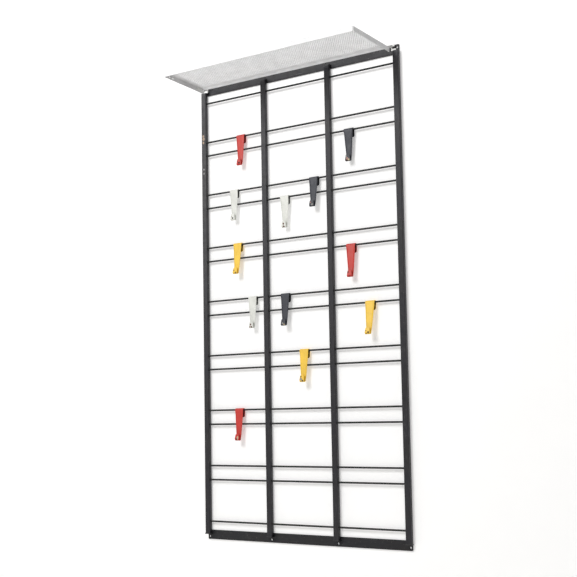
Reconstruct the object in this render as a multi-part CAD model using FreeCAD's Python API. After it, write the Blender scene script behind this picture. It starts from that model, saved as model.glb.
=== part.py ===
import FreeCAD, Part
import math
import os
from FreeCAD import Vector

# Wall-hung coat rack: a wire grid in a steel frame, sliding sheet hooks and a lift-off hat shelf.
# X runs along the wall, Y = 0 is the wall face and the rack stands out towards -Y, +Z is up.
# The origin is the centre of the four corner screw holes, on the wall face. Millimetres.

# ---------------------------------------------------------------- driving dimensions
FRAME_W = 651.0          # overall width, along X
FRAME_H = 1259.0         # overall height, along Z
BAR_H = 25.0             # flat bars that lie on the wall, top and bottom
BAR_T = 3.0
BAR_INSET = 2.5          # bar ends inside the outer faces of the outer uprights
BAR_CORNER_R = 2.0
TUBE_W = 16.0            # rectangular tube of the uprights, along X
TUBE_D = 10.0            # and along Y
TUBE_WALL = 1.5
TUBE_EDGE_R = 1.2        # rounded long edges of the tube
UPRIGHTS = 4
UPRIGHT_INSET = 17.0     # upright end below (or above) the outer edge of a bar
SCREW_HOLE_R = 3.0
SCREW_HOLE_EDGE = 7.5    # hole centre from the outer edge of its bar

ROD_R = 2.5
ROD_PITCH = 150.0        # centre to centre of the rod pairs
ROD_GAP = 38.0           # between the two rods of a pair
ROD_PAIRS = 7
ROD_END_IN_TUBE = 6.0    # how far a rod reaches into an outer upright
ROD_HOLE_CLEARANCE = 0.05

PLUG_HEAD = 3.0          # end plugs of the uprights
PLUG_DEPTH = 12.0
PLUG_OVERHANG = 0.6
PLUG_PLAY = 0.1

HOOK_T = 1.5             # sheet thickness of a hook
HOOK_TOP_W = 27.0
HOOK_STRIP_END_W = 14.5  # strip where the curl begins
HOOK_TIP_W = 10.5        # end of the tip
HOOK_H = 87.0            # top of the fold to the bottom of the curl
SHORT_HOOK_H = 81.0      # the same on the one short hook
HOOK_BACK_LEG = 20.0     # length of the leg behind the rod, below the rod's axis
HOOK_FOLD_R = 3.5        # inner radius of the fold over the rod
HOOK_ROD_PLAY = 0.4      # between the rod and the back leg
HOOK_EDGE_TURN = 1.1     # how far the long edges of the front strip turn back
HOOK_EDGE_W = 4.0
HOOK_SHOULDER = 10.0     # from the fold down to where the long edges are fully turned
HOOK_SHOULDER_TAPER = 1.5
HOOK_FADE = 12.0         # from the curl up to where the long edges start to flatten out
HOOK_FADE_TAPER = 1.0
HOOK_CURL_R = 2.8        # inner radius of the curl that holds the coat
HOOK_TIP_RISE = 17.5     # bottom of the curl to the end of the tip
HOOK_TIP_LEAN = 4.0      # degrees, tip leaning away from the strip
HOOK_TIP_CORNER_R = 3.5
HOOK_LEG_CORNER_R = 5.0

SHELF_L = 615.0          # along X, between the outer uprights
SHELF_D = 164.0          # end flanges, front to back
SHELF_TILT = 4.7         # degrees, front edge higher
SHELF_REAR_Y = -24.0     # rear end of the end flanges
SHELF_REAR_Z = FRAME_H / 2 - 22.9
SHEET_T = 1.0            # the shelf is one folded sheet
FLANGE_H = 13.5
REAR_LIP_H = 6.5
REAR_LIP_SET_IN = 7.0    # rear lip in front of the ends of the end flanges
REAR_LIP_GAP = 0.4       # between each end of the rear lip and the ear there
FOLD_R = 1.0             # outer radius of the folds
FLANGE_HOLE_R = 2.0      # small holes near the front of each end flange
FLANGE_HOLE_SET_BACK = (22.0, 35.0)

EAR_T = 2.0              # ears that hang the shelf in the outer uprights
EAR_LAP = 30.0           # lap of an ear along the inside of its end flange
EAR_LAP_H = 9.0
EAR_LAP_RISE = 1.0       # how far the neck starts above the lap's lower edge
EAR_CLEAR = 1.5          # between the shelf's rear lip and the ear behind it
EAR_NECK_W = 7.0         # neck that rises behind the lip
EAR_ARM_H = 8.5          # arm from the neck back to the upright, at its rear end
EAR_NOSE_H = 1.2         # and at its front end
EAR_ARM_TOP = 1.0        # top of the arm below the top of the bar
EAR_LIFT = 0.5           # foot of the ear above the end of the upright
EAR_FOOT_H = 5.0         # foot, turned outwards, below the screw hole behind it
EAR_REACH = 317.5        # outer end of the foot, from the middle of the rack
EAR_WING_H = 4.5         # wing, turned outwards along the arm's top, clear of the screw
EAR_WING_REACH = 313.5
TONGUE_W = 5.5
TONGUE_L = 22.0

# one row per hook: colour, bay (0 to 2), rod pair (0 at the top), which rod, offset from the bay's middle,
# how many degrees the hook leans out from the wall, and its height
HOOKS = (
    ("red", 0, 0, "upper", 26.0, 1.0, HOOK_H),
    ("grey", 2, 0, "lower", -41.5, -1.5, HOOK_H),
    ("white", 0, 1, "upper", 0.5, -0.2, HOOK_H),
    ("white", 1, 1, "lower", -38.5, -2.0, HOOK_H),
    ("grey", 1, 1, "upper", 57.5, 2.5, SHORT_HOOK_H),
    ("yellow", 0, 2, "upper", 11.0, 4.0, HOOK_H),
    ("red", 2, 2, "lower", -42.0, 1.0, HOOK_H),
    ("white", 0, 3, "upper", 60.5, 0.5, HOOK_H),
    ("grey", 1, 3, "upper", -41.5, 2.5, HOOK_H),
    ("yellow", 2, 3, "lower", 12.0, 6.0, HOOK_H),
    ("yellow", 1, 4, "upper", 17.0, 3.5, HOOK_H),
    ("red", 0, 5, "upper", 9.5, 2.5, HOOK_H),
)

# ---------------------------------------------------------------- derived sizes
UPRIGHT_PITCH = (FRAME_W - TUBE_W) / (UPRIGHTS - 1)
UPRIGHT_X = [-FRAME_W / 2 + TUBE_W / 2 + i * UPRIGHT_PITCH for i in range(UPRIGHTS)]
UPRIGHT_TOP = FRAME_H / 2 - UPRIGHT_INSET
TUBE_BACK_Y = -BAR_T
TUBE_FRONT_Y = TUBE_BACK_Y - TUBE_D
TUBE_MID_Y = TUBE_BACK_Y - TUBE_D / 2
SCREW_Z = FRAME_H / 2 - SCREW_HOLE_EDGE
PAIR_Z = [(ROD_PAIRS - 1) / 2 * ROD_PITCH - i * ROD_PITCH for i in range(ROD_PAIRS)]
END_ROD_Z = (ROD_PAIRS + 1) / 2 * ROD_PITCH - ROD_GAP / 2
ROD_LENGTH = FRAME_W - 2 * (TUBE_W - ROD_END_IN_TUBE)
NEAR = 0.01              # tolerance when picking edges
WEDGE_STEPS = 6          # corners of the wedge that a bend is cut out with


# ---------------------------------------------------------------- helpers
def box(x0, x1, y0, y1, z0, z1):
    """A block between two corners."""
    return Part.makeBox(x1 - x0, y1 - y0, z1 - z0, Vector(x0, y0, z0))


def rod_along(axis, radius, length, start):
    """A round bar from start along axis."""
    return Part.makeCylinder(radius, length, start, axis)


def mirror_x(shape):
    """The same piece on the other side of the rack."""
    return shape.mirror(Vector(0, 0, 0), Vector(1, 0, 0))


def fillet_where(shape, radius, keep):
    """Round the straight edges whose two ends satisfy keep."""
    open_edges = [e for e in shape.Edges if len(e.Vertexes) == 2]
    picked = [e for e in open_edges if keep(e.Vertexes[0].Point, e.Vertexes[1].Point)]
    return shape.makeFillet(radius, picked)


def runs_along(axis_index, a, b):
    """True when the edge from a to b is parallel to one row axis."""
    return all(abs(a[i] - b[i]) < NEAR for i in range(3) if i != axis_index)


def save(name, shape):
    """Write one node."""
    if not shape.isValid():
        raise ValueError("invalid solid in " + name)
    shape.exportStep("parts/" + name + ".step")


# ---------------------------------------------------------------- frame
def flat_bar(outer_z, hole_xs):
    """A flat bar on the wall, its outer edge at outer_z, with screw holes along that edge."""
    inner_z = outer_z - math.copysign(BAR_H, outer_z)
    half = FRAME_W / 2 - BAR_INSET
    bar = box(-half, half, -BAR_T, 0, min(outer_z, inner_z), max(outer_z, inner_z))
    bar = fillet_where(bar, BAR_CORNER_R, lambda a, b: runs_along(1, a, b))
    hole_z = math.copysign(SCREW_Z, outer_z)
    for x in hole_xs:
        bar = bar.cut(rod_along(Vector(0, 1, 0), SCREW_HOLE_R, BAR_T, Vector(x, -BAR_T, hole_z)))
    return bar


def upright(x, hole_zs, hole_from, hole_to):
    """A rectangular tube, drilled for the rods between hole_from and hole_to along X."""
    half = TUBE_W / 2
    inner = half - TUBE_WALL
    inner_front = TUBE_FRONT_Y + TUBE_WALL
    inner_back = TUBE_BACK_Y - TUBE_WALL
    outer = box(x - half, x + half, TUBE_FRONT_Y, TUBE_BACK_Y, -UPRIGHT_TOP, UPRIGHT_TOP)
    outer = fillet_where(outer, TUBE_EDGE_R, lambda a, b: runs_along(2, a, b))
    tube = outer.cut(box(x - inner, x + inner, inner_front, inner_back, -UPRIGHT_TOP, UPRIGHT_TOP))
    for z in hole_zs:
        start = Vector(hole_from, TUBE_MID_Y, z)
        tube = tube.cut(rod_along(Vector(1, 0, 0), ROD_R + ROD_HOLE_CLEARANCE, hole_to - hole_from, start))
    return tube


def rod(z):
    """A round bar through the inner uprights, ending inside the outer ones."""
    start = Vector(-ROD_LENGTH / 2, TUBE_MID_Y, z)
    return rod_along(Vector(1, 0, 0), ROD_R, ROD_LENGTH, start)


def end_plug(x, side):
    """A plug for an upright's end: side is 1 for the top end and -1 for the bottom end."""
    half = TUBE_W / 2 + PLUG_OVERHANG
    gap = TUBE_WALL + PLUG_PLAY
    inner = TUBE_W / 2 - gap
    head = box(x - half, x + half, TUBE_FRONT_Y - PLUG_OVERHANG, TUBE_BACK_Y, 0, PLUG_HEAD)
    stem = box(x - inner, x + inner, TUBE_FRONT_Y + gap, TUBE_BACK_Y - gap, -PLUG_DEPTH, 0)
    plug = head.fuse(stem).removeSplitter()
    if side < 0:
        plug = plug.mirror(Vector(0, 0, 0), Vector(0, 0, 1))
    plug.translate(Vector(0, 0, side * UPRIGHT_TOP))
    return plug


# ---------------------------------------------------------------- hooks
def strip_section(width, turn, inner_y, z):
    """The front strip's closed section at height z: flat in the middle, long edges turned back by turn."""
    half = width / 2
    flat = half - HOOK_EDGE_W
    front = [(-half, turn), (-flat, 0.0), (flat, 0.0), (half, turn)]
    outline = [Vector(x, inner_y - HOOK_T + y, z) for x, y in front]
    outline += [Vector(x, inner_y + y, z) for x, y in reversed(front)]
    return Part.makePolygon(outline + outline[:1])


def ribbon(centre, radius, start_deg, end_deg, width):
    """A bent sheet of inner radius, from one angle to another about an axis along X through centre."""
    start = centre - Vector(width / 2, 0, 0)
    ring = rod_along(Vector(1, 0, 0), radius + HOOK_T, width, start)
    core = rod_along(Vector(1, 0, 0), radius, width, start)
    reach = 4 * (radius + HOOK_T)
    corners = [centre]
    for i in range(WEDGE_STEPS + 1):
        a = math.radians(start_deg + (end_deg - start_deg) * i / WEDGE_STEPS)
        corners.append(centre + Vector(0, reach * math.cos(a), reach * math.sin(a)))
    wedge = Part.Face(Part.makePolygon([c - Vector(width, 0, 0) for c in corners + corners[:1]]))
    return ring.cut(core).common(wedge.extrude(Vector(2 * width, 0, 0)))


def hook(height):
    """A coat hook with its rod's axis at the origin, hanging down -Z, curl towards -Y."""
    back_y = ROD_R + HOOK_ROD_PLAY
    inner_y = back_y - 2 * HOOK_FOLD_R
    top_z = ROD_R + HOOK_ROD_PLAY + HOOK_T
    fold_z = top_z - HOOK_T - HOOK_FOLD_R
    bottom_z = top_z - height
    curl_z = bottom_z + HOOK_T + HOOK_CURL_R
    half = HOOK_TOP_W / 2
    fold = ribbon(Vector(0, back_y - HOOK_FOLD_R, fold_z), HOOK_FOLD_R, 0, 180, HOOK_TOP_W)
    back_leg = box(-half, half, back_y, back_y + HOOK_T, -HOOK_BACK_LEG, fold_z)
    back_leg = fillet_where(
        back_leg, HOOK_LEG_CORNER_R, lambda a, b: runs_along(1, a, b) and a.z < 0
    )
    stations = (
        (HOOK_TOP_W, 0.0, fold_z),
        (HOOK_TOP_W - HOOK_SHOULDER_TAPER, HOOK_EDGE_TURN, fold_z - HOOK_SHOULDER),
        (HOOK_STRIP_END_W + HOOK_FADE_TAPER, HOOK_EDGE_TURN, curl_z + HOOK_FADE),
        (HOOK_STRIP_END_W, 0.0, curl_z),
    )
    sections = [strip_section(width, turn, inner_y, z) for width, turn, z in stations]
    strip = Part.makeLoft(sections, True, True)
    curl_centre = Vector(0, inner_y - HOOK_T - HOOK_CURL_R, curl_z)
    curl = ribbon(curl_centre, HOOK_CURL_R, -180 - HOOK_TIP_LEAN, 0, HOOK_STRIP_END_W)
    rise = HOOK_TIP_RISE - HOOK_T - HOOK_CURL_R
    wide = HOOK_STRIP_END_W / 2
    narrow = HOOK_TIP_W / 2
    tip_corners = ((-wide, 0), (wide, 0), (narrow, rise), (-narrow, rise))
    outline = [Vector(x, -HOOK_CURL_R, z) for x, z in tip_corners]
    tip = Part.Face(Part.makePolygon(outline + outline[:1])).extrude(Vector(0, -HOOK_T, 0))
    tip = fillet_where(tip, HOOK_TIP_CORNER_R, lambda a, b: runs_along(1, a, b) and a.z > rise / 2)
    tip.rotate(Vector(0, 0, 0), Vector(1, 0, 0), -HOOK_TIP_LEAN)
    tip.translate(curl_centre)
    body = fold.fuse([back_leg, strip, curl, tip])
    return body.removeSplitter()


def hook_place(bay, pair, rod_name, offset):
    """Where a hook's rod axis point lies."""
    middle = (UPRIGHT_X[bay] + UPRIGHT_X[bay + 1]) / 2
    side = 1 if rod_name == "upper" else -1
    return Vector(middle + offset, TUBE_MID_Y, PAIR_Z[pair] + side * ROD_GAP / 2)


# ---------------------------------------------------------------- hat shelf
def tilt(shape):
    """Bring a shelf piece from its level drawing position to its place on the rack."""
    shape.rotate(Vector(0, 0, 0), Vector(1, 0, 0), -SHELF_TILT)
    shape.translate(Vector(0, SHELF_REAR_Y, SHELF_REAR_Z))
    return shape


def tray():
    """The folded sheet, drawn level: end flanges end at Y = 0, the lower edges are at Z = 0."""
    half = SHELF_L / 2
    top = FLANGE_H
    rear = -REAR_LIP_SET_IN
    plate = box(-half, half, -SHELF_D, rear, top - SHEET_T, top)
    front = box(-half, half, -SHELF_D, -SHELF_D + SHEET_T, 0, top)
    lip_half = half - SHEET_T - EAR_T - REAR_LIP_GAP
    lip = box(-lip_half, lip_half, rear - SHEET_T, rear, top - REAR_LIP_H, top)
    ends = [box(x, x + SHEET_T, -SHELF_D, 0, 0, top) for x in (-half, half - SHEET_T)]
    sheet = plate.fuse([front, lip] + ends).removeSplitter()

    def on_top_fold(a, b):
        return min(a.z, b.z) > top - NEAR and a.y < rear and b.y < rear + NEAR

    sheet = fillet_where(sheet, FOLD_R, on_top_fold)
    for set_back in FLANGE_HOLE_SET_BACK:
        start = Vector(-half - SHEET_T, -SHELF_D + set_back, top / 2)
        sheet = sheet.cut(rod_along(Vector(1, 0, 0), FLANGE_HOLE_R, SHELF_L + 2 * SHEET_T, start))
    return sheet


def right_ear():
    """The ear that laps the right end flange and drops a tongue into the upright's open end."""
    outer_x = SHELF_L / 2 - SHEET_T
    inner_x = outer_x - EAR_T
    under_plate = FLANGE_H - SHEET_T
    lap = tilt(box(inner_x, outer_x, -EAR_LAP, 0, under_plate - EAR_LAP_H, under_plate))
    neck_front = SHELF_REAR_Y - REAR_LIP_SET_IN + EAR_CLEAR
    neck_back = neck_front + EAR_NECK_W
    neck_low = SHELF_REAR_Z + under_plate - EAR_LAP_H + EAR_LAP_RISE
    arm_top = FRAME_H / 2 - EAR_ARM_TOP
    arm_low = arm_top - EAR_ARM_H
    foot_low = UPRIGHT_TOP + EAR_LIFT
    foot_back = TUBE_MID_Y + EAR_T / 2
    foot_front = foot_back - EAR_T
    profile = (
        (neck_front, neck_low),
        (neck_back, neck_low),
        (neck_back, arm_low),
        (foot_front, arm_low),
        (foot_front, foot_low),
        (foot_back, foot_low),
        (foot_back, arm_top),
        (foot_front, arm_top),
        (neck_front, arm_low + EAR_NOSE_H),
    )
    corners = [Vector(inner_x, y, z) for y, z in profile]
    arm = Part.Face(Part.makePolygon(corners + corners[:1])).extrude(Vector(EAR_T, 0, 0))
    foot = box(inner_x, EAR_REACH, foot_front, foot_back, foot_low, foot_low + EAR_FOOT_H)
    tongue = box(EAR_REACH - TONGUE_W, EAR_REACH, foot_front, foot_back, foot_low - TONGUE_L, foot_low)
    wing = box(inner_x, EAR_WING_REACH, foot_front, foot_back, arm_top - EAR_WING_H, arm_top)
    return lap.fuse([arm, foot, tongue, wing]).removeSplitter()


# ---------------------------------------------------------------- build
os.makedirs("parts", exist_ok=True)

bottom_holes = UPRIGHT_X
top_holes = [UPRIGHT_X[0], UPRIGHT_X[-1]]
save("bar_top", flat_bar(FRAME_H / 2, top_holes))
save("bar_bottom", flat_bar(-FRAME_H / 2, bottom_holes))

rod_zs = [END_ROD_Z]
for pair_z in PAIR_Z:
    rod_zs += [pair_z + ROD_GAP / 2, pair_z - ROD_GAP / 2]
rod_zs.append(-END_ROD_Z)
for i, z in enumerate(rod_zs):
    save("rod_%02d" % (i + 1), rod(z))

upright_names = ("upright_left", "upright_inner_left", "upright_inner_right", "upright_right")
drill_from = [0.0, -TUBE_W, -TUBE_W, -TUBE_W]
drill_to = [TUBE_W, TUBE_W, TUBE_W, 0.0]
for name, x, left, right in zip(upright_names, UPRIGHT_X, drill_from, drill_to):
    save(name, upright(x, rod_zs, x + left, x + right))

plugs = [end_plug(x, -1) for x in UPRIGHT_X] + [end_plug(x, 1) for x in UPRIGHT_X[1:-1]]
save("end_plugs", Part.makeCompound(plugs))

for i, (colour, bay, pair, rod_name, offset, lean, height) in enumerate(HOOKS):
    placed = hook(height)
    placed.rotate(Vector(0, 0, 0), Vector(1, 0, 0), -lean)
    placed.translate(hook_place(bay, pair, rod_name, offset))
    save("hook_%02d_%s" % (i + 1, colour), placed)

save("shelf_tray", tilt(tray()))
save("shelf_ear_right", right_ear())
save("shelf_ear_left", mirror_x(right_ear()))
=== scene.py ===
import math

import bpy
from mathutils import Matrix, Vector


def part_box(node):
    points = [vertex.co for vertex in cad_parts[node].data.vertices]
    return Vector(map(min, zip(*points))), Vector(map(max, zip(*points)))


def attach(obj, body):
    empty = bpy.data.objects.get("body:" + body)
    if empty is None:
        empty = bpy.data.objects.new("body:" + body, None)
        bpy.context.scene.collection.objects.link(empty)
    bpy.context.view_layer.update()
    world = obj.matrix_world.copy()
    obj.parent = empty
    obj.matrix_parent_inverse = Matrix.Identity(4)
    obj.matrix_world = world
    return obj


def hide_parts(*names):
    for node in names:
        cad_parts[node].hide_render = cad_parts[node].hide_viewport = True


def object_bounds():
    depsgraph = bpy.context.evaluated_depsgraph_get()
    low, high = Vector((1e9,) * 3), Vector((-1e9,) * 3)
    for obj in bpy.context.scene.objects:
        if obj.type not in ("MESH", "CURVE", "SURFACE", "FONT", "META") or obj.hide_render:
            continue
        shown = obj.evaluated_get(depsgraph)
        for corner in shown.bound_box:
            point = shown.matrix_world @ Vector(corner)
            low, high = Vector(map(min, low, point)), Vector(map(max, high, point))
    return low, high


# Looks of the wall-hung coat rack: enamelled hooks, painted steel grid and a perforated sheet shelf.
# Everything is in metres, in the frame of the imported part.

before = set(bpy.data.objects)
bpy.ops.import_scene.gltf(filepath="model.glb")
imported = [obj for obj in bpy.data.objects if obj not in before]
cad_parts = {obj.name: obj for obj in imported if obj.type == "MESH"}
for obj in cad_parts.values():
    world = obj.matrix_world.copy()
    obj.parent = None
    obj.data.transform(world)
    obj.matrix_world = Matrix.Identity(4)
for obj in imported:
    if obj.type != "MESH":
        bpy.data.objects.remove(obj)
cad_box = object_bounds()
MM = 0.001

# ---------------------------------------------------------------- camera
CAMERA_PLACE = Vector((1.8454, -2.5438, -0.2988))
CAMERA_TURN = math.radians(36.5277)  # round to the rack's right
CAMERA_TILT = math.radians(6.0445)   # looking up
CAMERA_ROLL = math.radians(-1.0024)
LENS_MM = 74.87
SENSOR_MM = 36.0

# ---------------------------------------------------------------- hooks
ROD_R = 2.5 * MM
HOOK_ROD_PLAY = 0.4 * MM
HOOK_T = 1.5 * MM
HOOK_TOP_W = 27.0 * MM
HOOK_END_W = 14.5 * MM       # strip at the curl
HOOK_TIP_W = 10.5 * MM
HOOK_H = 87.0 * MM
SHORT_HOOK_H = 81.0 * MM
HOOK_BACK_LEG = 20.0 * MM    # below the rod's axis
HOOK_BACK_Y = ROD_R + HOOK_ROD_PLAY      # inner face of the back leg, from the rod's axis
HOOK_TOP = HOOK_BACK_Y + HOOK_T          # top of the fold above the rod's axis
HOOK_FOLD_R = 3.5 * MM       # inner radii
HOOK_CURL_R = 2.8 * MM
HOOK_EDGE_TURN = 1.1 * MM    # how far the long edges of the strip turn back
HOOK_EDGE_W = 4.0 * MM
HOOK_SHOULDER = 10.0 * MM    # from the fold down to where they are fully turned
HOOK_FADE = 12.0 * MM        # and the same from the curl up
HOOK_TIP_RISE = 17.5 * MM
HOOK_TIP_LEAN = math.radians(4.0)
HOOK_LEG_CORNER = 5.0 * MM
HOOK_TIP_CORNER = 3.5 * MM
HOOK_EDGE_EASE = 0.3 * MM    # rounding of the sheet's cut edges
HOOK_CRISP = 40              # degrees, sharper edges than this are shaded as edges
LEG_STEPS = 14               # stations along the back leg, the fold, the strip, the curl and the tip
FOLD_OVER_STEPS = 12
STRIP_STEPS = 26
CURL_STEPS = 14
TIP_STEPS = 14
CLIP_STEPS = LEG_STEPS + FOLD_OVER_STEPS
HALF_ACROSS = (0.3, 0.54, 0.64, 0.74, 0.84, 0.93, 1)     # points across half a station
ACROSS = [-share for share in reversed(HALF_ACROSS)] + [0] + list(HALF_ACROSS)

# ---------------------------------------------------------------- shelf
SHELF_TILT = math.radians(4.7)
SHELF_D = 164.0 * MM
SHEET_T = 1.0 * MM
FLANGE_H = 13.5 * MM
REAR_LIP_H = 6.5 * MM
REAR_SET_IN = 7.0 * MM
REAR_LIP_END = 3.6 * MM      # each end of the rear lip stops this far short of its end flange's face
FOLD_R = 1.8 * MM            # outer radius
FOLD_STEPS = 5
PLAIN_BORDER = 12.0 * MM     # at least this much of the plate's edge has no holes
HOLE_PITCH = 5.5 * MM
HOLE_R = 2.0 * MM
HOLE_SIDES = 10
FLANGE_HOLE_R = 2.0 * MM
FLANGE_HOLE_CELL = 4.0 * MM  # half the length of flange that one hole's faces take up
FLANGE_HOLE_SET_BACK = (22.0 * MM, 35.0 * MM)
SHELF_CRISP = 35

# sockets of the colour mix node, which has others of the same names for plain numbers
MIX_SHARE, MIX_A, MIX_B = 0, 6, 7
MIX_RESULT = 2


# ---------------------------------------------------------------- materials
def rgb(red, green, blue):
    """A display colour, 0 to 255 a channel, as the linear colour that shaders use."""
    def linear(value):
        value /= 255
        return value / 12.92 if value <= 0.04045 else ((value + 0.055) / 1.055) ** 2.4
    return (linear(red), linear(green), linear(blue), 1.0)


def dimmed(colour, share):
    """The colour with this share of its light left."""
    return tuple(share * c for c in colour[:3]) + (1.0,)


class Look:
    """A material and short names for building its node tree. Patterns use the piece's own metres."""

    def __init__(self, name):
        self.material = bpy.data.materials.new(name)
        self.material.use_nodes = True
        self.tree = self.material.node_tree
        self.tree.nodes.clear()
        self.shader = self.add("ShaderNodeBsdfPrincipled")
        out = self.add("ShaderNodeOutputMaterial")
        self.tree.links.new(self.shader.outputs[0], out.inputs["Surface"])
        self.place = self.add("ShaderNodeTexCoord").outputs["Object"]

    def add(self, kind, inputs=(), **settings):
        """A new node, with its inputs fed and its settings made."""
        node = self.tree.nodes.new(kind)
        for key, value in settings.items():
            setattr(node, key, value)
        for key, value in dict(inputs).items():
            self.feed(node.inputs[key], value)
        return node

    def feed(self, socket, value):
        """Link value to the socket, or set it there when it is a constant."""
        if isinstance(value, bpy.types.NodeSocket):
            self.tree.links.new(value, socket)
        else:
            socket.default_value = value

    def calc(self, operation, a, b):
        return self.add("ShaderNodeMath", {0: a, 1: b}, operation=operation).outputs[0]

    def noise(self, size, detail=2.0, roughness=0.5, stretch=(1, 1, 1), shift=0.0):
        """Noise whose features are about size metres across, longer where stretch is below 1."""
        scaled = self.add("ShaderNodeVectorMath", {0: self.place, 1: stretch}, operation="MULTIPLY")
        offset = {0: scaled.outputs[0], 1: (shift, shift, shift)}
        moved = self.add("ShaderNodeVectorMath", offset, operation="ADD")
        inputs = {"Vector": moved.outputs[0], "Scale": 1 / size, "Detail": detail, "Roughness": roughness}
        return self.add("ShaderNodeTexNoise", inputs).outputs["Fac"]

    def fade(self, value, start, end, low=0.0, high=1.0):
        """low up to start and high from end, smooth between."""
        inputs = {"Value": value, "From Min": start, "From Max": end, "To Min": low, "To Max": high}
        node = self.add("ShaderNodeMapRange", inputs, interpolation_type="SMOOTHSTEP", clamp=True)
        return node.outputs["Result"]

    def blend(self, share, a, b):
        """Colour a with this share of colour b over it."""
        node = self.add("ShaderNodeMix", data_type="RGBA", blend_type="MIX")
        self.feed(node.inputs[MIX_SHARE], share)
        self.feed(node.inputs[MIX_A], a)
        self.feed(node.inputs[MIX_B], b)
        return node.outputs[MIX_RESULT]

    def edges(self, radius):
        """1 along edges, to about radius from them, and 0 on open faces."""
        rounded = self.add("ShaderNodeBevel", {"Radius": radius}, samples=6).outputs[0]
        true = self.add("ShaderNodeNewGeometry").outputs["Normal"]
        dot = self.add("ShaderNodeVectorMath", {0: rounded, 1: true}, operation="DOT_PRODUCT")
        return self.fade(dot.outputs["Value"], 0.995, 0.85)

    def patch(self, centre, radius, ragged=0.6, grain=1.2 * MM, shift=0.0):
        """1 within radius of a place, with a ragged edge."""
        away = self.add("ShaderNodeVectorMath", {0: self.place, 1: tuple(centre)}, operation="DISTANCE")
        wobble = self.calc("MULTIPLY", self.noise(grain, 3.0, 0.65, shift=shift), 2 * ragged * radius)
        reach = self.calc("ADD", away.outputs["Value"], self.calc("SUBTRACT", wobble, ragged * radius))
        return self.fade(reach, radius, 0.75 * radius)

    def finish(self, colour, roughness, height, height_scale):
        """The material with these patterns. height_scale is the relief in metres of a height of 1."""
        self.feed(self.shader.inputs["Base Color"], colour)
        self.feed(self.shader.inputs["Roughness"], roughness)
        bump = self.add("ShaderNodeBump", {"Strength": 1.0, "Distance": height_scale, "Height": height})
        self.feed(self.shader.inputs["Normal"], bump.outputs["Normal"])
        return self.material


def enamel(name, colour, gloss, worn, edge_wear, peel=0.12 * MM, marks=(), shift=0.0, soil=0.12):
    """Old sprayed enamel on steel. marks are (place, radius, colour) of spots where it has gone, some of
    them partly painted shade.

    gloss is the roughness of sound paint, peel the relief of its skin, shift moves every pattern.
    """
    look = Look(name)
    cloudy = look.noise(30 * MM, 3.0, shift=shift)
    shade = look.fade(cloudy, 0.3, 0.7)
    paint = look.blend(shade, dimmed(colour, 0.88), colour)
    specks = look.fade(look.noise(1.6 * MM, 2.0, 0.6, shift=shift + 3), 0.66, 0.74)
    paint = look.blend(look.calc("MULTIPLY", specks, soil * 2), paint, worn)
    grime = look.fade(look.noise(9 * MM, 4.0, 0.6, shift=shift + 7), 0.52, 0.75)
    paint = look.blend(look.calc("MULTIPLY", grime, soil), paint, rgb(90, 87, 82))
    gone = look.fade(look.noise(2.2 * MM, 3.0, 0.6, shift=shift + 11), 0.60 - 0.12 * edge_wear, 0.66)
    gone = look.calc("MULTIPLY", gone, look.edges(0.7 * MM))
    paint = look.blend(gone, paint, worn)
    for i, (place, radius, mark_colour) in enumerate(marks):
        spot = look.patch(place, radius, shift=shift + i)
        dirt = look.fade(look.noise(0.7 * MM, 3.0, 0.7, shift=shift + i), 0.35, 0.65)
        paint = look.blend(spot, paint, look.blend(dirt, dimmed(mark_colour, 0.45), mark_colour))
        gone = look.calc("MAXIMUM", gone, spot)
    skin = look.noise(1.3 * MM, 2.0, 0.4, shift=shift + 5)
    height = look.calc("SUBTRACT", look.calc("MULTIPLY", skin, 0.25), gone)
    rough = look.fade(look.noise(12 * MM, 3.0, 0.6, shift=shift + 9), 0.3, 0.7, gloss - 0.05, gloss + 0.09)
    rough = look.calc("ADD", rough, look.calc("MULTIPLY", gone, 0.3))
    look.shader.inputs["Specular IOR Level"].default_value = 0.35
    look.shader.inputs["Coat Weight"].default_value = 0.05
    look.shader.inputs["Coat Roughness"].default_value = 0.3
    return look.finish(paint, rough, height, peel)


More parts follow.
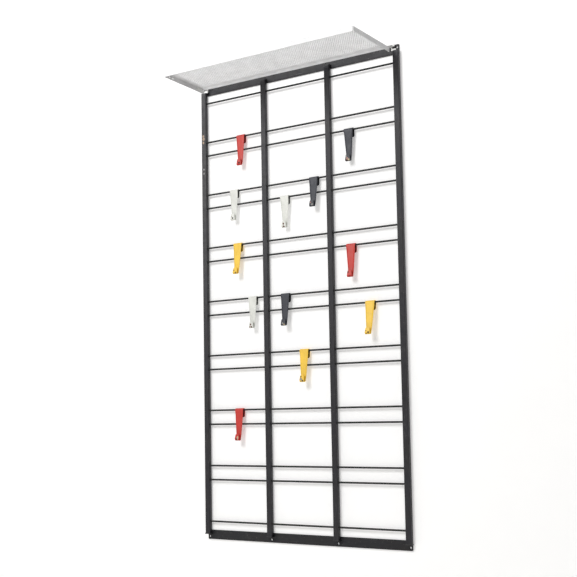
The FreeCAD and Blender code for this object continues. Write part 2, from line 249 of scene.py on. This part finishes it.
def frame_paint(name, colour, gloss, along, marks=()):
    """Dark stove enamel with fine scuffs along one axis (0 for X, 2 for Z), dust, and edges lighter in
    patches: rubbed paint and partly a painted edge highlight.
    """
    look = Look(name)
    cloudy = look.fade(look.noise(60 * MM, 4.0, 0.55), 0.32, 0.68)
    warm = tuple(c * f for c, f in zip(colour[:3], (1.12, 1.05, 0.90))) + (1.0,)
    paint = look.blend(cloudy, warm, colour)
    stretch = [1.0, 1.0, 1.0]
    stretch[along] = 0.03
    scuffs = look.fade(look.noise(0.9 * MM, 3.0, 0.6, stretch), 0.60, 0.72)
    scuffs = look.calc("MULTIPLY", scuffs, look.fade(look.noise(45 * MM, 2.0, shift=2), 0.45, 0.65))
    paint = look.blend(look.calc("MULTIPLY", scuffs, 0.35), paint, rgb(128, 128, 130))
    dust = look.fade(look.noise(2.4 * MM, 2.0, 0.5, shift=4), 0.70, 0.76)
    paint = look.blend(look.calc("MULTIPLY", dust, 0.5), paint, rgb(150, 146, 138))
    # lighter patches along the edges: rubbed paint, and partly a painted highlight
    rubbed_and_highlit = look.fade(look.noise(5 * MM, 4.0, 0.65, shift=8), 0.50, 0.62)
    rubbed_and_highlit = look.calc("MULTIPLY", rubbed_and_highlit, look.edges(0.8 * MM))
    paint = look.blend(look.calc("MULTIPLY", rubbed_and_highlit, 0.8), paint, rgb(118, 112, 104))
    gone = rubbed_and_highlit
    for i, (place, radius, mark_colour) in enumerate(marks):
        spot = look.patch(place, radius, ragged=0.9, grain=3 * MM, shift=i)
        paint = look.blend(look.calc("MULTIPLY", spot, 0.85), paint, mark_colour)
        gone = look.calc("MAXIMUM", gone, look.calc("MULTIPLY", spot, 0.6))
    skin = look.calc("MULTIPLY", look.noise(1.0 * MM, 2.0, 0.5, shift=6), 0.5)
    height = look.calc("SUBTRACT", skin, look.calc("MULTIPLY", gone, 0.6))
    rough = look.fade(look.noise(15 * MM, 4.0, 0.6, shift=9), 0.3, 0.7, gloss - 0.07, gloss + 0.10)
    rough = look.calc("ADD", rough, look.calc("MULTIPLY", gone, 0.25))
    look.shader.inputs["Specular IOR Level"].default_value = 0.4
    return look.finish(paint, rough, height, 0.08 * MM)


def moulded(name, colour):
    """Moulded plastic with a fine spark-eroded grain."""
    look = Look(name)
    shade = look.fade(look.noise(5 * MM, 3.0), 0.3, 0.7)
    paint = look.blend(shade, dimmed(colour, 0.8), colour)
    dust = look.fade(look.noise(0.8 * MM, 3.0, 0.6, shift=3), 0.62, 0.72)
    paint = look.blend(look.calc("MULTIPLY", dust, 0.3), paint, rgb(120, 116, 110))
    rough = look.fade(look.noise(3 * MM, 3.0), 0.3, 0.7, 0.48, 0.66)
    return look.finish(paint, rough, look.noise(0.35 * MM, 2.0), 0.05 * MM)


# ---------------------------------------------------------------- meshes
class Surface:
    """Points and faces of an open sheet. Points at the same place are shared.

    finish is the number of the material that new faces get.
    """

    def __init__(self, to_row):
        self.to_row = to_row
        self.points = []
        self.faces = []
        self.finishes = []
        self.finish = 0
        self.known = {}

    def point(self, *place):
        """The number of the point at this place, which is made when it is new."""
        key = tuple(round(c / (0.001 * MM)) for c in place)
        if key not in self.known:
            self.known[key] = len(self.points)
            self.points.append(self.to_row(Vector(place)))
        return self.known[key]

    def face(self, places):
        self.faces.append([self.point(*p) for p in places])
        self.finishes.append(self.finish)

    def pierced(self, place, u, v, half_u, half_v, radius, sides):
        """A rectangle about (u, v) with a round hole, as two C-shaped faces.

        place(u, v) gives its points.
        """
        def ring(start, turn):
            steps = range(sides // 2 + 1)
            angles = [start + turn * 2 * math.pi * i / sides for i in steps]
            return [place(u + radius * math.cos(a), v + radius * math.sin(a)) for a in angles]
        low, high = v - half_v, v + half_v
        left, right = u - half_u, u + half_u
        down, up = place(u, low), place(u, high)
        self.face([down] + ring(-math.pi / 2, -1) + [up, place(left, high), place(left, low)])
        self.face([up] + ring(math.pi / 2, -1) + [down, place(right, low), place(right, high)])

    def strip(self, lines):
        """Quads between neighbouring lines of as many points each."""
        for a, b in zip(lines, lines[1:]):
            for i in range(len(a) - 1):
                self.face([a[i], a[i + 1], b[i + 1], b[i]])

    def sheet(self, name, thickness, offset, edge, materials):
        """The object: the surface thickened, with its cut edges eased by edge.

        A face's other side gets the material after its own.
        """
        mesh = bpy.data.meshes.new(name)
        mesh.from_pydata(self.points, [], self.faces)
        for material in materials:
            mesh.materials.append(material)
        mesh.polygons.foreach_set("material_index", self.finishes)
        obj = bpy.data.objects.new(name, mesh)
        bpy.context.scene.collection.objects.link(obj)
        solid = obj.modifiers.new("thickness", "SOLIDIFY")
        solid.thickness = thickness
        solid.offset = offset
        solid.use_even_offset = True
        solid.material_offset = 1
        if edge:
            ease = obj.modifiers.new("edge", "BEVEL")
            ease.width = edge
            ease.segments = 2
            ease.limit_method = "ANGLE"
            ease.angle_limit = math.radians(50)
        return obj


def apply_modifiers(obj, sharp_degrees):
    """Bake the modifiers into the mesh, and keep edges sharper than the angle crisp."""
    seen = obj.evaluated_get(bpy.context.evaluated_depsgraph_get())
    mesh = bpy.data.meshes.new_from_object(seen)
    obj.modifiers.clear()
    obj.data = mesh
    mesh.shade_smooth()
    mesh.set_sharp_from_angle(angle=math.radians(sharp_degrees))


def install(obj, body, node):
    """Make obj a piece of the rack that stands for a CAD node."""
    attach(obj, body)
    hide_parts(node)


def repaint(node, material):
    """Give a CAD node its finish."""
    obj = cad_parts[node]
    for slot in obj.material_slots:
        slot.material = material


# ---------------------------------------------------------------- hooks
def smooth_step(value):
    """0 up to a value of 0, 1 from a value of 1, smooth between."""
    value = min(1.0, max(0.0, value))
    return value * value * (3 - 2 * value)


def hook_path(height):
    """The middle of the hook's sheet from the back leg over the rod to the tip.

    Each station is its y and z, the outward direction there, its half width and how much of their turn
    the edges have, 0 to 1.
    """
    half_t = HOOK_T / 2
    fold_z = HOOK_TOP - HOOK_T - HOOK_FOLD_R
    fold_y = HOOK_BACK_Y - HOOK_FOLD_R
    strip_y = fold_y - HOOK_FOLD_R - half_t
    curl_z = HOOK_TOP - height + HOOK_T + HOOK_CURL_R
    curl_y = strip_y - half_t - HOOK_CURL_R
    length = fold_z - curl_z
    top, end = HOOK_TOP_W / 2, HOOK_END_W / 2
    stations = []

    def corner(distance, radius):
        """How much a rounded corner narrows each side at this distance from the end."""
        inside = max(0.0, radius - distance)
        return radius - math.sqrt(max(0.0, radius * radius - inside * inside))

    for i in range(LEG_STEPS):
        up = (fold_z + HOOK_BACK_LEG) * smooth_step(0.5 * i / LEG_STEPS) * 2
        y, z = HOOK_BACK_Y + half_t, -HOOK_BACK_LEG + up
        stations.append((y, z, Vector((0, 1, 0)), top - corner(up, HOOK_LEG_CORNER), 0.0))
    for i in range(FOLD_OVER_STEPS):
        a = math.pi * i / FOLD_OVER_STEPS
        out = Vector((0, math.cos(a), math.sin(a)))
        reach = HOOK_FOLD_R + half_t
        stations.append((fold_y + reach * out.y, fold_z + reach * out.z, out, top, 0.0))
    for i in range(STRIP_STEPS):
        t = i / STRIP_STEPS
        down = t * length
        turn = smooth_step(down / HOOK_SHOULDER) * smooth_step((length - down) / HOOK_FADE)
        stations.append((strip_y, fold_z - down, Vector((0, -1, 0)), top + (end - top) * t, turn))
    sweep = math.pi + HOOK_TIP_LEAN
    for i in range(CURL_STEPS):
        a = -sweep * i / CURL_STEPS
        spoke = Vector((0, math.cos(a), math.sin(a)))
        reach = HOOK_CURL_R + half_t
        stations.append((curl_y + reach * spoke.y, curl_z + reach * spoke.z, spoke, end, 0.0))
    rise = HOOK_TIP_RISE - HOOK_T - HOOK_CURL_R
    tip = HOOK_TIP_W / 2
    spoke = Vector((0, math.cos(sweep), math.sin(-sweep)))
    along = Vector((0, -spoke.z, spoke.y)) * -1
    start = Vector((0, curl_y, curl_z)) + spoke * (HOOK_CURL_R + half_t)
    for i in range(TIP_STEPS + 1):
        up = rise * (1 - (1 - i / TIP_STEPS) ** 2)
        place = start + along * up
        half = end + (tip - end) * up / rise - corner(rise - up, HOOK_TIP_CORNER)
        stations.append((place.y, place.z, spoke, half, 0.0))
    return stations


def hook_sheet(name, rod, centre_x, lean, height, paint, inside):
    """One hook hanging on a rod, as a thick pressed sheet with turned edges.

    The back leg and the fold are painted outside, and on their inner side get the dark finish that is
    partly painted shade. The rest is painted on both sides.
    """
    low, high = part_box(rod)
    axis = (low + high) / 2
    swing = Matrix.Rotation(-math.radians(lean), 4, "X")

    def to_row(place):
        return swing @ place + Vector((centre_x, axis.y, axis.z))

    surface = Surface(to_row)
    lines = []
    for y, z, out, half, turn in hook_path(height):
        line = []
        for share in reversed(ACROSS):
            x = share * half
            wing = smooth_step((abs(x) - half + HOOK_EDGE_W) / HOOK_EDGE_W)
            back = out * (-HOOK_EDGE_TURN * turn * wing)
            line.append((x, y + back.y, z + back.z))
        lines.append(line)
    surface.finish = 1
    surface.strip(lines[: CLIP_STEPS + 1])
    surface.finish = 0
    surface.strip(lines[CLIP_STEPS:])
    return surface.sheet(name, HOOK_T, 0.0, HOOK_EDGE_EASE, (paint, paint, inside))


# per hook: node, rod it hangs on, degrees it leans out from the wall, height
HOOKS = (
    ("hook_01_red", "rod_02", 1.0, HOOK_H),
    ("hook_02_grey", "rod_03", -1.5, HOOK_H),
    ("hook_03_white", "rod_04", -0.2, HOOK_H),
    ("hook_04_white", "rod_05", -2.0, HOOK_H),
    ("hook_05_grey", "rod_04", 2.5, SHORT_HOOK_H),
    ("hook_06_yellow", "rod_06", 4.0, HOOK_H),
    ("hook_07_red", "rod_07", 1.0, HOOK_H),
    ("hook_08_white", "rod_08", 0.5, HOOK_H),
    ("hook_09_grey", "rod_08", 2.5, HOOK_H),
    ("hook_10_yellow", "rod_09", 6.0, HOOK_H),
    ("hook_11_yellow", "rod_10", 3.5, HOOK_H),
    ("hook_12_red", "rod_12", 2.5, HOOK_H),
)
STEEL = rgb(30, 26, 25)
RUST = rgb(104, 64, 50)
PRIMER = rgb(214, 196, 160)
ZINC = rgb(158, 156, 152)
PINK = rgb(186, 146, 136)
PALE_BROWN = rgb(150, 118, 100)
THIN_RED = rgb(150, 60, 50)          # paint that has worn thin over steel
DARK_RED = rgb(120, 48, 42)
DEEP_RED = rgb(110, 44, 40)
THIN_YELLOW = rgb(150, 106, 50)
BROWN_YELLOW = rgb(120, 96, 60)
GREY_YELLOW = rgb(110, 96, 70)
DARK_YELLOW = rgb(92, 72, 44)
# worn spots, among them the dark dots low in the curls of hooks 1, 3 and 10, which are partly painted shade
# of the curl's hollow: millimetres right of the middle, millimetres above the foot, radius in millimetres,
# colour
MARKS = {
    # first spot: dark dot in the curl's hollow, partly painted shade
    "hook_01_red": ((1.5, 6.0, 3.4, STEEL), (-4.0, 10.5, 2.0, THIN_RED)),
    "hook_02_grey": (
        (-1.0, 7.0, 3.6, PINK), (3.5, 3.0, 3.2, PRIMER), (-3.5, 12.5, 2.6, ZINC), (-4.0, 3.0, 2.4, RUST)
    ),
    # first spot: dark dot in the curl's hollow, partly painted shade
    "hook_03_white": ((0.8, 6.0, 3.0, STEEL), (-4.0, 10.0, 1.6, RUST)),
    "hook_04_white": ((-0.5, 10.0, 3.0, RUST), (0.5, 2.5, 3.2, RUST)),
    "hook_05_grey": ((2.0, 5.0, 3.2, ZINC), (-3.0, 11.0, 2.2, PINK)),
    "hook_06_yellow": ((2.5, 3.0, 3.0, BROWN_YELLOW), (-3.5, 10.0, 2.2, RUST)),
    "hook_07_red": ((-3.8, 12.5, 2.4, STEEL), (0.0, 2.5, 2.2, DARK_RED)),
    "hook_08_white": ((-1.0, 10.0, 2.8, RUST), (1.5, 3.5, 3.0, RUST), (-4.0, 3.5, 2.0, PALE_BROWN)),
    "hook_09_grey": ((-1.0, 6.0, 3.0, ZINC), (3.6, 2.5, 2.6, PRIMER)),
    # first spot: dark dot in the curl's hollow, partly painted shade
    "hook_10_yellow": ((3.0, 4.5, 3.2, DARK_YELLOW), (-4.0, 9.0, 2.0, THIN_YELLOW), (-3.0, 2.0, 2.0, RUST)),
    "hook_11_yellow": ((-2.5, 7.5, 4.2, ZINC), (-3.0, 14.0, 2.8, STEEL), (2.5, 3.0, 3.4, GREY_YELLOW)),
    "hook_12_red": ((2.0, 9.5, 3.0, PRIMER), (2.0, 5.5, 2.8, PRIMER), (-2.0, 4.0, 3.0, DEEP_RED)),
}
INSIDE_SHADE_SHARE = 0.16          # the insides of the hooks are dark: partly overspray on darkened steel, partly painted shade of the front leg
# per colour: paint, what shows where it is rubbed, roughness where it is sound
PAINTS = {
    "red": (rgb(190, 54, 46), rgb(112, 42, 38), 0.42),
    "yellow": (rgb(236, 194, 66), rgb(150, 118, 60), 0.42),
    "white": (rgb(216, 217, 211), rgb(150, 142, 130), 0.42),
    "grey": (rgb(46, 48, 56), rgb(132, 130, 130), 0.44),
}
INSIDE_ROUGHNESS = 0.55
INSIDE_SOIL = 0.4
EDGE_WEAR = 0.6
PATTERN_STEP = 1.7           # moves the patterns on from one hook to the next, so that no two are alike
INSIDE_STEP = 0.9

hooks = []
for order, (node, rod, lean, height) in enumerate(HOOKS):
    low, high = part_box(node)
    middle = (low.x + high.x) / 2
    number, shade_name = node.split("_")[1:]
    colour, worn, gloss = PAINTS[shade_name]
    foot = Vector((middle, low.y, low.z))
    marks = [(foot + Vector((dx * MM, 0, dz * MM)), r * MM, c) for dx, dz, r, c in MARKS[node]]
    shift = PATTERN_STEP * order
    paint = enamel("paint_hook_" + number, colour, gloss, worn, EDGE_WEAR, marks=marks, shift=shift)
    # the clip's inner side: dark paint that is partly painted shade
    inside = enamel(
        "shaded_inside_hook_" + number, dimmed(colour, INSIDE_SHADE_SHARE), INSIDE_ROUGHNESS, STEEL, EDGE_WEAR,
        shift=shift + INSIDE_STEP, soil=INSIDE_SOIL,
    )
    hook = hook_sheet("hook_sheet_" + number, rod, middle, lean, height, paint, inside)
    apply_modifiers(hook, HOOK_CRISP)
    install(hook, "hook_" + number, node)
    hooks.append(hook)


# ---------------------------------------------------------------- shelf
def shelf_surface():
    """The outer face of the folded shelf sheet, drawn level and then tilted to its place."""
    low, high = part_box("shelf_tray")
    half = (high.x - low.x) / 2
    rear_y = high.y - FLANGE_H * math.sin(SHELF_TILT)
    swing = Matrix.Rotation(-SHELF_TILT, 4, "X")
    rear_foot = Vector(((low.x + high.x) / 2, rear_y, low.z))

    def to_row(place):
        return swing @ place + rear_foot

    surface = Surface(to_row)
    top = FLANGE_H
    side_x = half - FOLD_R
    front_y = -SHELF_D + FOLD_R
    back_y = -REAR_SET_IN - FOLD_R
    row_step = HOLE_PITCH * math.sqrt(3) / 2
    columns = int((2 * side_x - 2 * PLAIN_BORDER) / HOLE_PITCH)
    rows = int((back_y - front_y - 2 * PLAIN_BORDER) / row_step)
    field_x = -columns * HOLE_PITCH / 2
    field_y = (front_y + back_y - rows * row_step) / 2
    end_x = -field_x
    end_y = field_y + rows * row_step

    def flat(x, y):
        return (x, y, top)

    # the field of holes, in staggered rows whose odd ones end in half cells
    for row in range(rows):
        y = field_y + (row + 0.5) * row_step
        odd = row % 2
        for column in range(columns - odd):
            x = field_x + (column + 0.5 + 0.5 * odd) * HOLE_PITCH
            surface.pierced(flat, x, y, HOLE_PITCH / 2, row_step / 2, HOLE_R, HOLE_SIDES)
        if odd:
            for a, b in ((field_x, field_x + HOLE_PITCH / 2), (end_x - HOLE_PITCH / 2, end_x)):
                low_y, high_y = y - row_step / 2, y + row_step / 2
                surface.face([flat(a, low_y), flat(b, low_y), flat(b, high_y), flat(a, high_y)])

    # the plain border round the field: one face a side, that shares the field's edge points
    row_ys = [field_y + i * row_step for i in range(rows + 1)]
    half_xs = [field_x + i * HOLE_PITCH / 2 for i in range(2 * columns + 1)]
    hole_ys = [front_y - FOLD_R + set_back for set_back in FLANGE_HOLE_SET_BACK]
    front_cell, rear_cell = [[y - FLANGE_HOLE_CELL, y, y + FLANGE_HOLE_CELL] for y in hole_ys]
    side_ys = [field_y] + front_cell + rear_cell + [end_y]
    for side in (-1, 1):
        inner = [flat(side * end_x, y) for y in row_ys]
        outer = [flat(side * side_x, y) for y in side_ys]
        surface.face(inner + outer[::-1] if side < 0 else outer + inner[::-1])
    lip_x = half - REAR_LIP_END
    front_run = [-side_x, side_x]
    rear_run = [-side_x, -lip_x, lip_x, side_x]
    for y_field, y_edge, run in ((field_y, front_y, front_run), (end_y, back_y, rear_run)):
        inner = [flat(x, y_field) for x in [-side_x] + half_xs + [side_x]]
        loop = [flat(x, y_edge) for x in run] + inner[::-1]
        surface.face(loop if y_edge < y_field else loop[::-1])

    def fold(run, place, drop):
        """A rounded fold along run, and with a drop a flange down to that far below the top.

        place(along, out, height) gives its points.
        """
        lines = []
        for i in range(FOLD_STEPS + 1):
            a = math.pi / 2 * i / FOLD_STEPS
            out, height = FOLD_R * math.sin(a), top - FOLD_R * (1 - math.cos(a))
            lines.append([place(along, out, height) for along in run])
        if drop:
            lines.append([place(along, FOLD_R, top - drop) for along in run])
        return lines

    # front flange, then the rear fold with its shorter lip
    surface.strip(fold(front_run, lambda x, out, z: (x, front_y - out, z), FLANGE_H)[::-1])
    surface.strip(fold(rear_run[::-1], lambda x, out, z: (x, back_y + out, z), 0)[::-1])
    lip = [[(s * lip_x, back_y + FOLD_R, z) for s in (1, -1)] for z in (top - REAR_LIP_H, top - FOLD_R)]
    surface.strip(lip)

    # end flanges, each with two small holes near the front and a tail behind the plate
    plain_top = top - FOLD_R
    for side in (-1, 1):
        run = [front_y] + side_ys + [back_y]
        lines = fold(run, lambda y, out, z: (side * (side_x + out), y, z), 0)
        surface.strip(lines if side < 0 else [line[::-1] for line in lines])
        wall_x = side * (side_x + FOLD_R)

        def flange_face(rightwards, z):
            """A point of the end flange, so many metres to the right as seen from outside."""
            return (wall_x, side * rightwards, z)

        middle_z = plain_top / 2
        for y in hole_ys:
            cell = (FLANGE_HOLE_CELL, middle_z, FLANGE_HOLE_R, 2 * HOLE_SIDES)
            surface.pierced(flange_face, side * y, middle_z, *cell)
        solid_runs = (
            [front_y, field_y, front_cell[0]],
            [front_cell[-1], rear_cell[0]],
            [rear_cell[-1], end_y, back_y, 0.0],
        )
        for solid in solid_runs:
            quads = [[(wall_x, y, 0.0) for y in solid], [(wall_x, y, plain_top) for y in solid]]
            surface.strip(quads if side > 0 else [line[::-1] for line in quads])
        tail = [[(wall_x, y, z) for y in (back_y, 0.0)] for z in (plain_top, top)]
        surface.strip(tail if side > 0 else [line[::-1] for line in tail])
    return surface


SHELF_WHITE = rgb(208, 208, 209)
EAR_WHITE = rgb(228, 228, 226)
CHALK = rgb(170, 166, 158)
WHITE_GLOSS = 0.42
WHITE_PEEL = 0.06 * MM
shelf_look = enamel("paint_shelf", SHELF_WHITE, WHITE_GLOSS, CHALK, 0.2, WHITE_PEEL, soil=0.04)
shelf = shelf_surface().sheet("shelf_sheet", SHEET_T, -1.0, 0.0, (shelf_look, shelf_look))
apply_modifiers(shelf, SHELF_CRISP)
install(shelf, "shelf", "shelf_tray")

# ---------------------------------------------------------------- frame
UPRIGHT_PAINT = rgb(35, 35, 41)
BAR_PAINT = rgb(26, 26, 31)
ROD_PAINT = rgb(20, 20, 22)
PLUG_BLACK = rgb(38, 38, 40)
BROWN_WEAR = rgb(168, 146, 126)
PALE_WEAR = rgb(150, 148, 150)
ALONG_X, ALONG_Z = 0, 2
# worn spots on the left upright: millimetres right of its middle and above the rack's, radius, colour
LEFT_WEAR = (
    (-2, 489, 4, BROWN_WEAR),
    (-1, 480, 5, BROWN_WEAR),
    (-1, 470, 4, BROWN_WEAR),
    (0, 393, 3, PALE_WEAR),
    (0, 382, 3, PALE_WEAR),
)
left_low, left_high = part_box("upright_left")
left_front = Vector(((left_low.x + left_high.x) / 2, left_low.y, 0))
left_marks = [(left_front + Vector((x * MM, 0, z * MM)), r * MM, colour) for x, z, r, colour in LEFT_WEAR]
# the start of a node's name: its finish
LOOKS = {
    "upright": frame_paint("paint_upright", UPRIGHT_PAINT, 0.42, ALONG_Z, left_marks),
    "bar": frame_paint("paint_bar", BAR_PAINT, 0.50, ALONG_X),
    "rod": frame_paint("paint_rod", ROD_PAINT, 0.50, ALONG_X),
    "end_plugs": moulded("plug_plastic", PLUG_BLACK),
    "shelf_ear": enamel("paint_ear", EAR_WHITE, WHITE_GLOSS, CHALK, 0.4, WHITE_PEEL, shift=5.0, soil=0.10),
}
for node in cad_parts:
    for start, look in LOOKS.items():
        if node.startswith(start):
            repaint(node, look)

# ---------------------------------------------------------------- stage
FLOOR_BELOW = 0.35           # the floor, below the rack's lowest point
STAGE_REACH = 7.0
WALL_TOP = 5.0
WALL_GAP = 0.5 * MM
WALL_GLOW = 0.32             # stands for light that the rest of a white room sends to the wall
WORLD_LIGHT = 0.22


def stage_plane(name, corners, material):
    """A floor or a wall, which is only there for the picture."""
    mesh = bpy.data.meshes.new(name)
    mesh.from_pydata(corners, [], [[0, 1, 2, 3]])
    obj = bpy.data.objects.new(name, mesh)
    bpy.context.scene.collection.objects.link(obj)
    obj.data.materials.append(material)
    return obj


def stage_look(name, colour, glow, one_sided):
    """Matt white paint with a faint unevenness. One-sided, its back lets everything through."""
    look = Look(name)
    uneven = look.fade(look.noise(0.25, 3.0), 0.3, 0.7)
    paint = look.blend(uneven, dimmed(colour, 0.985), colour)
    look.shader.inputs["Specular IOR Level"].default_value = 0.2
    look.shader.inputs["Emission Color"].default_value = (1, 1, 1, 1)
    look.shader.inputs["Emission Strength"].default_value = glow
    material = look.finish(paint, 0.9, look.noise(2 * MM, 2.0), 0.02 * MM)
    if one_sided:
        out = next(n for n in look.tree.nodes if n.bl_idname == "ShaderNodeOutputMaterial")
        clear = look.add("ShaderNodeBsdfTransparent").outputs[0]
        back = look.add("ShaderNodeNewGeometry").outputs["Backfacing"]
        either = look.add("ShaderNodeMixShader", {0: back, 1: look.shader.outputs[0], 2: clear})
        look.feed(out.inputs["Surface"], either.outputs[0])
    return material


floor_z = cad_box[0].z - FLOOR_BELOW
left, right = -STAGE_REACH, STAGE_REACH
wall_paint = stage_look("stage_wall_paint", rgb(243, 243, 243), WALL_GLOW, True)
wall_lows = [(left, WALL_GAP, floor_z), (right, WALL_GAP, floor_z)]
wall_highs = [(right, WALL_GAP, WALL_TOP), (left, WALL_GAP, WALL_TOP)]
wall = stage_plane("stage_wall", wall_lows + wall_highs, wall_paint)
floor_paint = stage_look("stage_floor_paint", rgb(226, 224, 220), 0.0, False)
floor_fronts = [(left, -STAGE_REACH, floor_z), (right, -STAGE_REACH, floor_z)]
floor_backs = [(right, STAGE_REACH, floor_z), (left, STAGE_REACH, floor_z)]
stage_plane("stage_floor", floor_fronts + floor_backs, floor_paint)


def listed(name, objects, state):
    """A collection that a light uses to include or exclude objects."""
    group = bpy.data.collections.new(name)
    for obj in objects:
        group.objects.link(obj)
    for entry in group.collection_objects:
        entry.light_linking.link_state = state
    return group


def area_light(name, place, aim, size, watts, lit, shading=None):
    """A round lamp at place that shines on lit. shading, when given, is what can throw its shadows."""
    light = bpy.data.lights.new(name, "AREA")
    light.shape = "DISK"
    light.size = size
    light.energy = watts
    obj = bpy.data.objects.new(name, light)
    obj.location = place
    obj.rotation_euler = (Vector(aim) - Vector(place)).to_track_quat("-Z", "Y").to_euler()
    bpy.context.scene.collection.objects.link(obj)
    obj.light_linking.receiver_collection = lit
    if shading:
        obj.light_linking.blocker_collection = shading


shelf_pieces = [shelf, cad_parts["shelf_ear_left"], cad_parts["shelf_ear_right"]]
# the lamps for the frame and the shelf leave out the wall and the hooks
frame_and_shelf = listed("frame_and_shelf", [wall] + hooks, "EXCLUDE")
only_hooks = listed("only_hooks", hooks, "INCLUDE")
the_wall = listed("the_wall", [wall], "INCLUDE")
not_the_shelf = listed("not_the_shelf", shelf_pieces, "EXCLUDE")
the_shelf = listed("the_shelf", shelf_pieces, "INCLUDE")
area_light("key", (-0.5, -2.6, 2.3), (0, 0, 0.2), 1.3, 78, frame_and_shelf)
area_light("window", (-3.2, -2.6, 1.6), (0, 0, 0.2), 2.6, 66, frame_and_shelf)
# a broad soft box shines off the hooks' faces, and a lamp on the right brings out their turned edges
area_light("soft_box", (-1.3, -3.1, 1.5), (0, 0, 0.1), 2.6, 92, only_hooks)
area_light("side_light", (3.0, -2.2, 2.1), (0, 0, 0.1), 1.3, 80, only_hooks)
# the wall has a lamp of its own, in which the shelf throws no shadow
area_light("wall_key", (-0.5, -3.2, 2.3), (0, 0, 0.1), 1.6, 86, the_wall, not_the_shelf)
# light from low in front reaches the shelf's underside and rear lip
area_light("low_fill", (-0.8, -3.2, -0.7), (0, 0, 0.6), 1.4, 80, the_shelf)

world = bpy.data.worlds.new("studio")
world.use_nodes = True
background = world.node_tree.nodes["Background"]
background.inputs["Color"].default_value = (1.0, 1.0, 1.0, 1.0)
background.inputs["Strength"].default_value = WORLD_LIGHT
bpy.context.scene.world = world
bpy.context.scene.view_settings.view_transform = "Standard"

# ---------------------------------------------------------------- camera
camera_data = bpy.data.cameras.new("camera")
camera_data.lens = LENS_MM
camera_data.sensor_width = SENSOR_MM
camera = bpy.data.objects.new("camera", camera_data)
turn = Matrix.Rotation(CAMERA_TURN, 4, "Z")
tilt = Matrix.Rotation(math.pi / 2 + CAMERA_TILT, 4, "X")
roll = Matrix.Rotation(CAMERA_ROLL, 4, "Z")
camera.matrix_world = Matrix.Translation(CAMERA_PLACE) @ turn @ tilt @ roll
bpy.context.scene.collection.objects.link(camera)
bpy.context.scene.camera = camera
